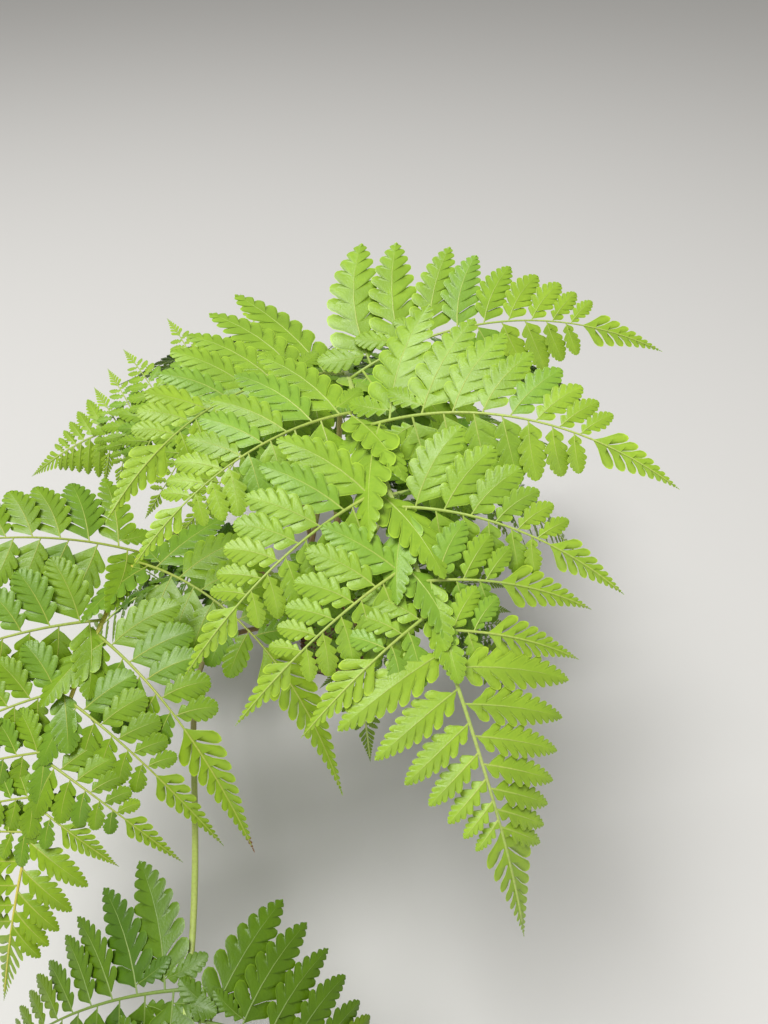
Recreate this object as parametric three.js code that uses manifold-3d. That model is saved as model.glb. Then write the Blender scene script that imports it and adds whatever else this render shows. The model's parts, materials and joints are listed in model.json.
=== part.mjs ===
// Davallia fern: a short crown stem at ground level and twelve arching fronds.
// Each frond is a stipe (its bare stalk) and a blade that starts 0.3 mm clear of it.
// Millimetres and degrees. +Z is up, the origin is at ground level under the crown.
// The viewer of the best side stands on the -Y side.
import * as THREE from 'three';
import { mergeVertices } from 'three/addons/utils/BufferGeometryUtils.js';
import Module from 'manifold-3d';

// Crown stem, as radius at each height from the flat cut at ground level up to its dome
const CROWN_PROFILE = [
  [40, 0],
  [36, 8],
  [30, 22],
  [27, 40],
  [26, 56],
  [23, 68],
  [15, 77],
];
const CROWN_TOP = 80;
const CROWN_SIDES = 20;

// Stalks and ribs
const JOINT_GAP = 0.3;
const STIPE_FOOT_RADIUS = 2.9;
const STIPE_END_RADIUS = 1.7;
const STIPE_SIDES = 6;
const STIPE_STEPS = 9;
const STIPE_SINK = 14;
const RIB_RADIUS = 1.7;
const RIB_TIP_RADIUS = 0.8;
const RIB_LEAD = 6;
const RIB_STEPS = 48;

// Blades: thickness, half width of the midribs that carry the leaflets, and the angle in
// degrees by which each half of a side branch bends down from its midrib
const BLADE_THICK = 2.2;
const MIDRIB_HALF = 1.3;
const FOLD = 7;
const PINNA_STEPS = 12;

// By detail: every pair of side branches up to the first number, then every second one
const CLOSE_PAIRS = [6, 6, 8];
const PAIRS = [13, 13, 15];

// Room that leaflets keep from the rib, and the least share of a leaflet's edge by which
// a shoulder has to stand out of it
const RIB_CLEAR = 1.5;
const SHOULDER_LEAST = 0.05;

// How much the leaflets gain towards the root of a pinna, and the share of it where that ends
const ROOT_GAIN = 0.3;
const ROOT_SHARE = 0.4;

// A frond form: how the side branches (pinnae) stand along the rib of a blade of
// FORM_LENGTH. gaps are the shares of the rib between the first pairs, and each later pair
// leaves share of what remains. reach is the longest leaflet's share of its pinna,
// before its gain. On each side, lengths and angles are those of the lowest pinnae, and
// each later one is shrink times as long and closing degrees less open. A pinna lifts at
// its root, droops and sweeps forward to its tip, and turns on its own midrib by its
// louvre.
const FORM_LENGTH = 362;
const FORMS = {
  main: {
    gaps: [0.195, 0.172, 0.117, 0.068, 0.05],
    share: 0.88,
    offset: 0.36,
    reach: 0.34,
    right: {
      lengths: [187, 149, 132, 108, 80, 59],
      angles: [57, 69, 66, 70, 70, 78],
      shrink: 0.81,
      closing: 2.5,
      sweep: 21,
      lift: 15,
      droop: 53,
      louvres: [46, 16, 16, 18, 22, 24],
    },
    left: {
      lengths: [196, 164, 116, 83, 69, 58],
      angles: [98, 69, 62, 75, 71, 75],
      shrink: 0.87,
      closing: 4,
      sweep: 28,
      lift: 28,
      droop: 60,
      louvres: [62, 36, 34, 34, 30, 26],
    },
  },
  wide: {
    gaps: [0.214, 0.14, 0.118, 0.082, 0.067],
    share: 0.85,
    offset: 0.27,
    reach: 0.23,
    right: {
      lengths: [239, 185, 144, 109, 84, 66],
      angles: [74, 64, 60, 70, 69, 75],
      shrink: 0.84,
      closing: 3,
      sweep: 23,
      lift: 16,
      droop: 40,
      louvres: [34, 38, 48, 50, 40, 30],
    },
    left: {
      lengths: [248, 191, 146, 113, 69, 51],
      angles: [69, 63, 71, 76, 76, 75],
      shrink: 0.87,
      closing: 3,
      sweep: 26,
      lift: 8,
      droop: 57,
      louvres: [34, 34, 32, 24, 16],
    },
  },
  low: {
    gaps: [0.195, 0.172, 0.117, 0.068, 0.05],
    share: 0.87,
    offset: 0.3,
    reach: 0.36,
    right: {
      lengths: [201, 165, 130, 99, 78, 62],
      angles: [92, 80, 71, 78, 74, 79],
      shrink: 0.82,
      closing: 3,
      sweep: 23,
      lift: -5,
      droop: 50,
      louvres: [16, 16, 18, 20, 24],
    },
    left: {
      lengths: [204, 165, 130, 99, 78, 62],
      angles: [79, 70, 65, 73, 71, 77],
      shrink: 0.82,
      closing: 3,
      sweep: 20,
      lift: -8,
      droop: 60,
      louvres: [16, 16, 18, 20, 24],
    },
  },
  plain: {
    gaps: [0.195, 0.165, 0.117, 0.075, 0.058],
    share: 0.87,
    offset: 0.3,
    reach: 0.34,
    right: {
      lengths: [190, 157, 123, 94, 74, 58],
      angles: [76, 69, 66, 72, 71, 75],
      shrink: 0.83,
      closing: 3,
      sweep: 23,
      lift: 15,
      droop: 48,
      louvres: [30, 30, 32, 34, 34, 30],
    },
  },
};
FORMS.plain.left = FORMS.plain.right;

// The fronds. base is the point where the blade starts, heading is its compass angle
// (0 towards the viewer, 90 to the viewer's right) and turn what is added to it by the tip.
// rise and fall are the slopes at the start and at the tip, bend says how early the slope
// falls, and roll and twist tilt the blade about its rib. foot is the compass angle and
// height where the stipe leaves the crown, and steep is its slope there. detail sets how
// finely the blade's outline is toothed.
const FRONDS = [
  {
    name: 'main',
    form: 'main',
    base: [23, -101, 373],
    heading: 6,
    turn: 27,
    rise: 23,
    fall: -73,
    bend: 1,
    length: 362,
    roll: -5,
    twist: 11,
    foot: [10, 70],
    steep: 82,
    detail: 2,
  },
  {
    name: 'front_left',
    form: 'wide',
    base: [-114, -143, 262],
    heading: -4,
    turn: -29,
    rise: 19,
    fall: -66,
    bend: 1.7,
    length: 305,
    roll: 7,
    twist: -10,
    foot: [-50, 62],
    steep: 62,
    detail: 2,
  },
  {
    name: 'front_low',
    form: 'low',
    base: [-52, -379, 184],
    heading: 3,
    turn: 0,
    rise: -8,
    fall: -26,
    bend: 1.4,
    length: 270,
    roll: -4,
    twist: 0,
    foot: [-92, 30],
    steep: 0,
    detail: 1,
  },
  {
    name: 'left',
    form: 'plain',
    base: [-45, 14, 262],
    heading: -92,
    turn: 0,
    rise: 15,
    fall: -40,
    bend: 1.3,
    length: 235,
    roll: 42,
    twist: 0,
    foot: [-95, 72],
    steep: 84,
    detail: 1,
  },
  {
    name: 'back_left',
    form: 'plain',
    base: [-62, 80, 240],
    heading: -146,
    turn: -6,
    rise: 20,
    fall: -60,
    bend: 1.4,
    length: 270,
    roll: 0,
    twist: 0,
    foot: [-140, 68],
    steep: 76,
    detail: 0,
  },
  {
    name: 'back',
    form: 'plain',
    base: [2, 98, 202],
    heading: 176,
    turn: 8,
    rise: 18,
    fall: -62,
    bend: 1.3,
    length: 290,
    roll: 0,
    twist: 0,
    foot: [176, 66],
    steep: 74,
    detail: 0,
  },
  {
    name: 'back_right',
    form: 'plain',
    base: [74, 56, 250],
    heading: 124,
    turn: 6,
    rise: 20,
    fall: -58,
    bend: 1.3,
    length: 270,
    roll: 0,
    twist: 0,
    foot: [128, 70],
    steep: 76,
    detail: 0,
  },
  {
    name: 'right',
    form: 'plain',
    base: [58, -8, 205],
    heading: 82,
    turn: 6,
    rise: 22,
    fall: -55,
    bend: 1.3,
    length: 190,
    roll: 0,
    twist: 0,
    foot: [84, 64],
    steep: 76,
    detail: 0,
  },
  {
    name: 'inner_right',
    form: 'plain',
    base: [58, -58, 160],
    heading: 42,
    turn: 6,
    rise: 20,
    fall: -60,
    bend: 1.3,
    length: 160,
    roll: 0,
    twist: 0,
    foot: [45, 56],
    steep: 66,
    detail: 0,
  },
  {
    name: 'inner_front',
    form: 'plain',
    base: [14, -84, 190],
    heading: 8,
    turn: 4,
    rise: 20,
    fall: -60,
    bend: 1.3,
    length: 160,
    roll: 0,
    twist: 0,
    foot: [22, 50],
    steep: 70,
    detail: 0,
  },
  {
    name: 'inner_left',
    form: 'plain',
    base: [-84, -22, 134],
    heading: -66,
    turn: -6,
    rise: 20,
    fall: -55,
    bend: 1.3,
    length: 180,
    roll: 0,
    twist: 0,
    foot: [-72, 54],
    steep: 60,
    detail: 0,
  },
  {
    name: 'inner_back',
    form: 'plain',
    base: [56, 74, 126],
    heading: 142,
    turn: 6,
    rise: 22,
    fall: -55,
    bend: 1.3,
    length: 170,
    roll: 0,
    twist: 0,
    foot: [152, 54],
    steep: 56,
    detail: 0,
  },
];

const LEAF_COLOUR = 0x86b83c;
const STALK_COLOUR = 0xb3a04c;
const CROWN_COLOUR = 0x6a4a2e;

const wasm = await Module();
wasm.setup();
const { Manifold, Mesh: SolidMesh } = wasm;

const radians = (degrees) => (degrees * Math.PI) / 180;

// Forward, right-hand and upper directions for a compass heading, a slope and a roll.
function directions(heading, slope, roll) {
  const h = radians(heading);
  const e = radians(slope);
  const r = radians(roll);
  const forward = new THREE.Vector3(
    Math.sin(h) * Math.cos(e),
    -Math.cos(h) * Math.cos(e),
    Math.sin(e),
  );
  const flat = new THREE.Vector3(-Math.cos(h), -Math.sin(h), 0);
  const upper = flat.clone().cross(forward);
  const side = flat
    .clone()
    .multiplyScalar(Math.cos(r))
    .addScaledVector(upper, Math.sin(r));
  const up = upper
    .clone()
    .multiplyScalar(Math.cos(r))
    .addScaledVector(flat, -Math.sin(r));
  return { forward, side, up };
}

// The rib of a blade: equal steps whose slope falls from rise to fall.
function makeRib(frond) {
  const point = new THREE.Vector3(...frond.base);
  const points = [point.clone()];
  const frames = [];
  for (let i = 0; i < RIB_STEPS; i++) {
    const v = (i + 0.5) / RIB_STEPS;
    const slope = frond.fall + (frond.rise - frond.fall) * (1 - v) ** frond.bend;
    const frame = directions(
      frond.heading + frond.turn * v,
      slope,
      frond.roll + frond.twist * v,
    );
    frames.push(frame);
    point.addScaledVector(frame.forward, frond.length / RIB_STEPS);
    points.push(point.clone());
  }
  return { points, frames, length: frond.length };
}

// Point and directions at share v of the rib, also a little before its start.
function ribAt(rib, v) {
  const x = Math.min(v, 1) * RIB_STEPS;
  const i = Math.min(Math.max(Math.floor(x), 0), RIB_STEPS - 1);
  const point = rib.points[i].clone().lerp(rib.points[i + 1], x - i);
  return { point, ...rib.frames[i] };
}

// Shares of the rib at which the pairs of pinnae stand.
function pairPlaces(form, count) {
  const places = [0];
  form.gaps.forEach((gap) => places.push(places[places.length - 1] + gap));
  while (places.length < count) {
    places.push(1 - (1 - places[places.length - 1]) * form.share);
  }
  return places.slice(0, count);
}

// Everything about one pinna: its root, its midrib and its length.
function makePinna(frond, rib, index, hand) {
  const form = FORMS[frond.form];
  const rule = hand > 0 ? form.right : form.left;
  const size = frond.length / FORM_LENGTH;
  let v = pairPlaces(form, index + 1)[index];
  if (hand < 0) v = Math.min(0.985, v + form.offset * (1 - v) * 0.15);
  const known = Math.min(index, rule.lengths.length - 1);
  const length = rule.lengths[known] * size * rule.shrink ** (index - known);
  const angle = rule.angles[known] - rule.closing * (index - known);
  const ease = 0.3 + 0.7 * (1 - v);
  const root = ribAt(rib, v);
  const louvre = rule.louvres[Math.min(index, rule.louvres.length - 1)];
  const { reach } = form;
  const pinna = { v, hand, index, length, size, root, angle, louvre, reach, rule, ease };
  const point = root.point.clone();
  pinna.points = [point.clone()];
  for (let i = 0; i < PINNA_STEPS; i++) {
    const { along } = pinnaFrame(pinna, (i + 0.5) / PINNA_STEPS);
    point.addScaledVector(along, length / PINNA_STEPS);
    pinna.points.push(point.clone());
  }
  return pinna;
}

// The angle in the frond's plane between the rib and the pinna's midrib at share t.
function pinnaLean(pinna, t) {
  return radians(pinna.angle - pinna.rule.sweep * pinna.ease * t);
}

// Directions on the pinna at share t: along it, across it towards the frond's tip, and up.
function pinnaFrame(pinna, t) {
  const { root, hand, rule, ease } = pinna;
  const a = pinnaLean(pinna, t);
  const b = radians((rule.lift - rule.droop * t) * ease);
  const out = root.forward
    .clone()
    .multiplyScalar(Math.cos(a))
    .addScaledVector(root.side, Math.sin(a) * hand);
  const along = out
    .clone()
    .multiplyScalar(Math.cos(b))
    .addScaledVector(root.up, Math.sin(b));
  const level = root.forward
    .clone()
    .multiplyScalar(Math.sin(a))
    .addScaledVector(root.side, -Math.cos(a) * hand);
  const over = root.up
    .clone()
    .multiplyScalar(Math.cos(b))
    .addScaledVector(out, -Math.sin(b));
  const c = Math.cos(radians(pinna.louvre));
  const s = Math.sin(radians(pinna.louvre));
  const across = level.clone().multiplyScalar(c).addScaledVector(over, -s);
  const up = over.clone().multiplyScalar(c).addScaledVector(level, s);
  return { along, across, up };
}

// The point of the blade s millimetres along a pinna and u across it.
function pinnaPoint(pinna, s, u) {
  const t = Math.min(Math.max(s / pinna.length, 0), 1);
  const x = t * PINNA_STEPS;
  const i = Math.min(Math.floor(x), PINNA_STEPS - 1);
  const point = pinna.points[i].clone().lerp(pinna.points[i + 1], x - i);
  const frame = pinnaFrame(pinna, t);
  point.addScaledVector(frame.along, s - t * pinna.length);
  point.addScaledVector(frame.across, u * Math.cos(radians(FOLD)));
  point.addScaledVector(frame.up, -Math.abs(u) * Math.sin(radians(FOLD)));
  return { point, up: frame.up };
}

// The leaflets (pinnules) of one side of a pinna, from its root to its tip.
function pinnules(pinna, side) {
  const whole = pinna.length / pinna.size;
  const count = Math.min(14, Math.max(6, Math.round(5 + whole / 21)));
  const reach = Math.min(pinna.reach, 0.13 + 0.00155 * whole);
  const open = 62 + 14 * Math.min(1, whole / 160);
  const list = [];
  for (let j = 0; j < count; j++) {
    const t = 0.05 + 0.92 * (1 - (1 - j / count) ** 1.9);
    const taper = (1 - t) ** 1.15 * (1 + 1.1 * t * (1 - t));
    const place = t * pinna.length;
    const gain = 1 + ROOT_GAIN * Math.max(0, 1 - t / ROOT_SHARE);
    let length = pinna.length * reach * taper * gain;
    let angle = radians(open - 28 * t);
    let excess = 0;
    if (side > 0) {
      const away = place * Math.sin(radians(pinna.angle)) - RIB_RADIUS - RIB_CLEAR;
      const room = Math.min(1, Math.max(0, away / length));
      const lean = pinnaLean(pinna, t) + Math.asin(room);
      excess = Math.max(0, angle - lean);
      length *= 1 - 1.4 * excess;
      angle -= excess;
    }
    list.push({ s: place, length, angle, turned: excess > 0 });
  }
  return list;
}

// How many of a pinna's leaflets its outline is cut to, and how many of them get shoulders.
function toothCounts(pinna, detail) {
  const { length } = pinna;
  if (detail === 2) {
    if (length > 140) return [8, 4];
    if (length > 100) return [6, 3];
    if (length > 65) return [5, 0];
    if (length > 40) return [3, 0];
    return [0, 0];
  }
  if (detail === 1) {
    if (length > 100) return [6, 2];
    if (length > 60) return [4, 0];
    if (length > 40) return [3, 0];
    return [0, 0];
  }
  if (length > 90) return [5, 0];
  if (length > 60) return [4, 0];
  if (length > 40) return [2, 0];
  return [0, 0];
}

// A corner of the blade's outline at share v of the rib, on one edge of it or spread beyond.
function ribCorner(rib, v, hand, spread = 0) {
  const { point, side, up } = ribAt(rib, v);
  const half = RIB_RADIUS + (RIB_TIP_RADIUS - RIB_RADIUS) * Math.max(0, v);
  return { point: point.addScaledVector(side, hand * (half + spread)), up, half, v };
}

// True where a point lies well outside the line between two neighbouring corners of a tooth.
function bulges(from, to, [s, u]) {
  const [a, b] = [to[0] - from[0], to[1] - from[1]];
  const line = Math.hypot(a, b);
  return (a * (u - from[1]) - b * (s - from[0])) / line > 1 + SHOULDER_LEAST * line;
}

// One side of a pinna: the corners of its outline from the root to just short of the tip,
// the notches among them, and the triangles of its teeth.
function pinnaSide(pinna, rib, side, detail) {
  const list = pinnules(pinna, side);
  const [teeth, rounded] = toothCounts(pinna, detail);
  const sine = Math.sin(radians(pinna.angle));
  const reach = MIDRIB_HALF / sine / rib.length;
  const corners = [ribCorner(rib, pinna.v + side * reach, pinna.hand)];
  const notches = [0];
  const faces = [];
  const add = ([s, u]) => {
    const { point } = pinnaPoint(pinna, s, side * u);
    const away = point.sub(pinna.root.point).dot(pinna.root.side) * pinna.hand;
    const shift = Math.max(0, RIB_RADIUS + RIB_CLEAR - away) / sine;
    const corner = { ...pinnaPoint(pinna, s + shift, side * u), half: BLADE_THICK / 2 };
    return corners.push(corner) - 1;
  };
  if (teeth === 0) {
    add([0.4 * pinna.length, Math.max(0.8 * list[1].length, MIDRIB_HALF + 0.6)]);
    return { corners, notches, faces };
  }
  const shallow = Math.max(0, Math.min(0.5, (65 - pinna.length / pinna.size) / 40));
  const at = (leaf, share, across) => [
    leaf.s + leaf.length * share * Math.cos(leaf.angle) + across * Math.sin(leaf.angle),
    leaf.length * share * Math.sin(leaf.angle) - across * Math.cos(leaf.angle),
  ];
  let start = [0, MIDRIB_HALF];
  for (let j = 0; j < teeth; j++) {
    const [leaf, after] = [list[j], list[j + 1]];
    const half = Math.min(0.21 * leaf.length, (after.s - leaf.s) * 0.46);
    const height = after.length * Math.sin(after.angle);
    const depth = MIDRIB_HALF + Math.max(0, height - MIDRIB_HALF) * shallow;
    const tip = at(leaf, 1, 0);
    tip[1] = Math.max(tip[1], MIDRIB_HALF + 0.6);
    const end = [(leaf.s + after.s) / 2, depth];
    const near = at(leaf, 0.42, -half);
    const far = at(leaf, 0.5, half);
    const first = notches[j];
    const free = j > 0 && j < rounded && !list[j - 1].turned;
    const basal = free && bulges(start, tip, near) ? add(near) : first;
    const middle = add(tip);
    const full = j < rounded && !leaf.turned;
    const distal = full && bulges(tip, end, far) ? add(far) : middle;
    const last = add(end);
    faces.push([first, middle, last]);
    if (basal !== first) faces.push([first, basal, middle]);
    if (distal !== middle) faces.push([middle, distal, last]);
    notches.push(last);
    start = end;
  }
  const [s, u] = at(list[teeth], 1, 0);
  const line = (start[1] * (pinna.length - s)) / (pinna.length - start[0]);
  add([s, Math.max(u * 0.6, line + 1)]);
  return { corners, notches, faces };
}

// What stands along one edge of the rib, from the base of the blade to its tip.
function edgeStops(frond, rib, hand) {
  const stops = [{ v: -RIB_LEAD / frond.length }];
  const close = CLOSE_PAIRS[frond.detail];
  for (let index = 0; index < PAIRS[frond.detail]; index += index < close ? 1 : 2) {
    const pinna = makePinna(frond, rib, index, hand);
    const before = stops[stops.length - 1].v;
    if (pinna.v - before > 0.1) stops.push({ v: (pinna.v + before) / 2 });
    stops.push({ v: pinna.v, pinna });
  }
  const { v, pinna } = stops[stops.length - 1];
  stops.push({ v: (v + 1) / 2, spread: 0.4 * pinna.length });
  stops.push({ v: 1 });
  return stops;
}

// One frond blade: a thin sheet whose outline is cut to the midribs between the leaflets.
// Its corners run once round the outline, up the right-hand side and down the left.
function makeBlade(frond) {
  const rib = makeRib(frond);
  const corners = [];
  const faces = [];
  const add = (corner) => corners.push(corner) - 1;

  const addPinna = (pinna) => {
    const near = pinnaSide(pinna, rib, -pinna.hand, frond.detail);
    const far = pinnaSide(pinna, rib, pinna.hand, frond.detail);
    const start = corners.length;
    near.corners.forEach(add);
    const tip = add({ ...pinnaPoint(pinna, pinna.length, 0), half: BLADE_THICK / 2 });
    [...far.corners].reverse().forEach(add);
    const last = corners.length - 1;
    near.faces.forEach((face) => faces.push(face.map((i) => start + i)));
    far.faces.forEach((face) => faces.push(face.map((i) => last - i)));
    const pairs = near.notches.map((i, j) => [start + i, last - far.notches[j]]);
    for (let j = 0; j + 1 < pairs.length; j++) {
      const [[a, d], [b, c]] = [pairs[j], pairs[j + 1]];
      faces.push([a, b, c], [a, c, d]);
    }
    const [a, d] = pairs[pairs.length - 1];
    faces.push([a, a + 1, tip], [a, tip, d], [tip, d - 1, d]);
    return [
      { v: near.corners[0].v, index: start },
      { v: far.corners[0].v, index: last },
    ];
  };

  const [right, left] = [1, -1].map((hand) => {
    const stops = edgeStops(frond, rib, hand);
    if (hand < 0) stops.reverse();
    const edge = stops.flatMap(({ v, spread, pinna }) => {
      if (pinna) return addPinna(pinna);
      return [{ v, index: add(ribCorner(rib, v, hand, spread)) }];
    });
    return hand > 0 ? edge : edge.reverse();
  });

  let [i, j] = [0, 0];
  while (i + 1 < right.length || j + 1 < left.length) {
    const nextRight = i + 1 < right.length ? right[i + 1].v : 2;
    const nextLeft = j + 1 < left.length ? left[j + 1].v : 2;
    const next = nextRight <= nextLeft ? right[i + 1] : left[j + 1];
    faces.push([right[i].index, next.index, left[j].index]);
    if (nextRight <= nextLeft) i += 1;
    else j += 1;
  }
  return sheetGeometry(corners, faces);
}

// A closed thin body: an upper and a lower lid from the same faces, and a wall round them.
function sheetGeometry(corners, faces) {
  const count = corners.length;
  const vertices = [];
  [1, -1].forEach((level) => {
    corners.forEach(({ point, up, half }) => {
      vertices.push(...point.clone().addScaledVector(up, level * half));
    });
  });
  const triangles = [];
  faces.forEach((face) => {
    const [a, b, c] = face.sort((x, y) => x - y);
    triangles.push(a, b, c, count + a, count + c, count + b);
  });
  for (let a = 0; a < count; a++) {
    const b = (a + 1) % count;
    triangles.push(a, count + a, count + b, a, count + b, b);
  }
  const geometry = new THREE.BufferGeometry();
  geometry.setAttribute('position', new THREE.Float32BufferAttribute(vertices, 3));
  geometry.setIndex(triangles);
  return geometry;
}

// The stipe from the crown up to the blade: a cylinder bent along one curve.
function makeStipe(frond) {
  const [turn, height] = frond.foot;
  const outward = directions(turn, 0, 0).forward;
  const first = directions(turn, frond.steep, 0).forward;
  const last = directions(frond.heading, frond.rise, frond.roll);
  const start = outward
    .clone()
    .multiplyScalar(26)
    .setZ(height)
    .addScaledVector(first, -STIPE_SINK);
  const end = new THREE.Vector3(...frond.base);
  end.addScaledVector(last.forward, -RIB_LEAD - JOINT_GAP);
  const span = start.distanceTo(end);
  const curve = new THREE.CubicBezierCurve3(
    start,
    start.clone().addScaledVector(first, span * 0.42),
    end.clone().addScaledVector(last.forward, -span * 0.36),
    end,
  );
  const geometry = new THREE.CylinderGeometry(
    STIPE_END_RADIUS,
    STIPE_FOOT_RADIUS,
    1,
    STIPE_SIDES,
    STIPE_STEPS,
  );
  const position = geometry.attributes.position;
  const sideways = last.side;
  for (let i = 0; i < position.count; i++) {
    const t = Math.min(1, Math.max(0, position.getY(i) + 0.5));
    const tangent = curve.getTangent(t);
    const across = sideways.clone().addScaledVector(tangent, -sideways.dot(tangent));
    across.normalize();
    const over = across.clone().cross(tangent);
    const point = curve.getPoint(t);
    point.addScaledVector(across, position.getX(i));
    point.addScaledVector(over, position.getZ(i));
    position.setXYZ(i, point.x, point.y, point.z);
  }
  return geometry;
}

function crownGeometry(extra) {
  const points = [new THREE.Vector2(0, -extra)];
  CROWN_PROFILE.forEach(([radius, height], i) => {
    points.push(new THREE.Vector2(radius + extra, i === 0 ? -extra : height));
  });
  points.push(new THREE.Vector2(0, CROWN_TOP + extra));
  const geometry = new THREE.LatheGeometry(points, CROWN_SIDES);
  return geometry.rotateX(Math.PI / 2);
}

function solidOf(geometry) {
  const bare = geometry.index ? geometry.toNonIndexed() : geometry.clone();
  bare.deleteAttribute('normal');
  bare.deleteAttribute('uv');
  const merged = mergeVertices(bare, 1e-4);
  const corners = Array.from(merged.index.array);
  const kept = [];
  for (let i = 0; i < corners.length; i += 3) {
    const [a, b, c] = corners.slice(i, i + 3);
    if (a !== b && b !== c && c !== a) kept.push(a, b, c);
  }
  const solid = new Manifold(
    new SolidMesh({
      numProp: 3,
      vertProperties: merged.attributes.position.array,
      triVerts: new Uint32Array(kept),
    }),
  );
  return solid;
}

function geometryOf(solid) {
  const mesh = solid.getMesh();
  const geometry = new THREE.BufferGeometry();
  geometry.setAttribute(
    'position',
    new THREE.BufferAttribute(new Float32Array(mesh.vertProperties), 3),
  );
  geometry.setIndex(new THREE.BufferAttribute(new Uint32Array(mesh.triVerts), 1));
  geometry.computeVertexNormals();
  return geometry;
}

const group = new THREE.Group();

function addPart(name, solid, colour, roughness) {
  const material = new THREE.MeshStandardMaterial({
    color: colour,
    roughness,
    metalness: 0,
  });
  const mesh = new THREE.Mesh(geometryOf(solid), material);
  mesh.name = name;
  group.add(mesh);
}

addPart('crown_stem', solidOf(crownGeometry(0)), CROWN_COLOUR, 0.95);
const clearance = solidOf(crownGeometry(JOINT_GAP));
FRONDS.forEach((frond) => {
  const stipe = solidOf(makeStipe(frond)).subtract(clearance);
  addPart(`${frond.name}_stipe`, stipe, STALK_COLOUR, 0.6);
  addPart(`${frond.name}_blade`, solidOf(makeBlade(frond)), LEAF_COLOUR, 0.5);
});

export default group;
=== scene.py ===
"""Looks of the davallia fern: finer leaflets, grooved stalks and a scaly crown, in place of
the plain blades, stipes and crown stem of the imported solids.

Fronds grow by the same rule as the solids and within the same reach. Lengths are in
millimetres and angles in degrees until a mesh is made, and the meshes are in metres.
"""

import json
from math import cos, degrees, hypot, pi, radians, sin

import bpy
import numpy as np
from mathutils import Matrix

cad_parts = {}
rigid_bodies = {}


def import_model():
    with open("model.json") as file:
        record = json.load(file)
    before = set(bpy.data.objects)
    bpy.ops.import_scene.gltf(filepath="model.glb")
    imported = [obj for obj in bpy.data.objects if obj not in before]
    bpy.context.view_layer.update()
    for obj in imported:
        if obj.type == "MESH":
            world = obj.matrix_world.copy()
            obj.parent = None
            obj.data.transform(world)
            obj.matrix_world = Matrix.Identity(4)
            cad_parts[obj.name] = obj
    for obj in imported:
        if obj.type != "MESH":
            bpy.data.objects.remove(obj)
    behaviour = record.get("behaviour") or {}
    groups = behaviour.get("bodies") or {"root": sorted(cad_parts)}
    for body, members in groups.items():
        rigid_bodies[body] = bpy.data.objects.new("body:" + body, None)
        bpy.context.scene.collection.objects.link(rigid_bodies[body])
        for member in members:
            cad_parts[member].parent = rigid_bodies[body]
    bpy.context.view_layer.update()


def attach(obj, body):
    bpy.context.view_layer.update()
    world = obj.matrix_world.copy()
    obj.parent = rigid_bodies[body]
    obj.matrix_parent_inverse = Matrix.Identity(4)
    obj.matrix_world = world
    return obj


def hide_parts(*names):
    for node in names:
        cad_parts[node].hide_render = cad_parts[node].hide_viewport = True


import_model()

# Unit of the meshes
METRES = 0.001

# The photograph's view
CAMERA_PLACE = (0.046, -0.532, 0.624)
CAMERA_DOWN = 40
LENS = 28.125
SENSOR = 36
CLIP = (0.01, 60)

# Floor, lights and surroundings
FLOOR_REACH = 30
FLOOR_COLOUR = (0.62, 0.61, 0.59, 1)
FLOOR_ROUGHNESS = 0.9
LIGHT_SIZE = 1.6
WORLD_COLOUR = (1.0, 0.99, 0.96, 1)
WORLD_STRENGTH = 0.42

# Ribs and side branches, as in the solids
FORM_LENGTH = 362
RIB_STEPS = 48
RIB_LEAD = 6
PINNA_STEPS = 24
PAIRS = 20
LAST_PLACE = 0.985
OFFSET_SHARE = 0.15
EASE_LEAST = 0.3
LOUVRE_STEP = 5
FOLD = radians(7)

# Leaflets along a side branch, as in the solids
REACH_START = 0.13
REACH_GROWTH = 0.00155
OPENING = 62
OPENING_GROWTH = 14
OPENING_FALL = 28
FULL_SIZE = 160
TAPER_POWER = 1.15
TAPER_SWELL = 1.1
ROOT_GAIN = 0.3
ROOT_SHARE = 0.4

# The finer leaflets: where they stand, and gain in length on small side branches
LEAFLETS_LEAST = 11
LEAFLETS_MOST = 21
SIZE_PER_LEAFLET = 25
LEAFLETS_FROM = 0.05
LEAFLETS_SPAN = 0.92
LEAFLET_CROWDING = 2.2
SIDE_SHIFT = 0.3
SMALL_GAIN = 0.18
SMALL_SIZES = (140, 60)
COVERED_FROM = 62
SPRAY_LENGTH = 56

# Free leaflets: least lift, then the ranges of what chance adds to lift and droop, of their
# roll, turn and bend in degrees, and of their size and width. Covering ones lie over the rib.
LEAST_LIFT = 0.03
LIFTS = (0, 0.05)
DROOPS = (0, 0.1)
ROLLS = (2, 12)
TURNS = (-3, 3)
SIZES = (0.96, 1.02)
BENDS = (10, 26)
WIDTHS = (0.95, 1.07)
COVER_LIFT = 0.3
COVER_DROOP = 0.2
COVER_DROOPS = (0, 0.04)
COVER_TURN = 10

# The lobed ends of side branches and of fronds
TAIL_SIZES = (62, 80, 100, 125, 150)
TAIL_STARTS = (0.15, 0.4, 0.57, 0.66, 0.71)
TAIL_CROWDING = 1.65
TAIL_WIDTH = 0.8
TAIL_CLOSING = 4
FROND_END = 0.83
FROND_TIP = 0.998
FROND_END_LOBES = 11
FROND_END_WIDTH = 0.24
FROND_END_TAPER = 0.6

# Lobes: share of their room that they fill, bend forward and back to the axis, end of the row
# along the axis, least width of blade beside the axis, relief, and half width of the vein
LOBE_FILL = 0.96
LOBE_BEND = 0.2
LOBE_RETURN = 0.3
LOBES_END = 0.965
LEAST_BLADE = 0.012
LOBE_TILT = 0.11
LOBE_FALL = 0.06
LOBE_CROWN = 0.24
SLIT_FALL = 0.1
VEIN_HALF = 0.35

# A free first lobe: the cut beside it, its turn and its gain in width
FREE_CUT = 0.86
EAR_TURN = 0.1
EAR_WIDTH = 0.5

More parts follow.
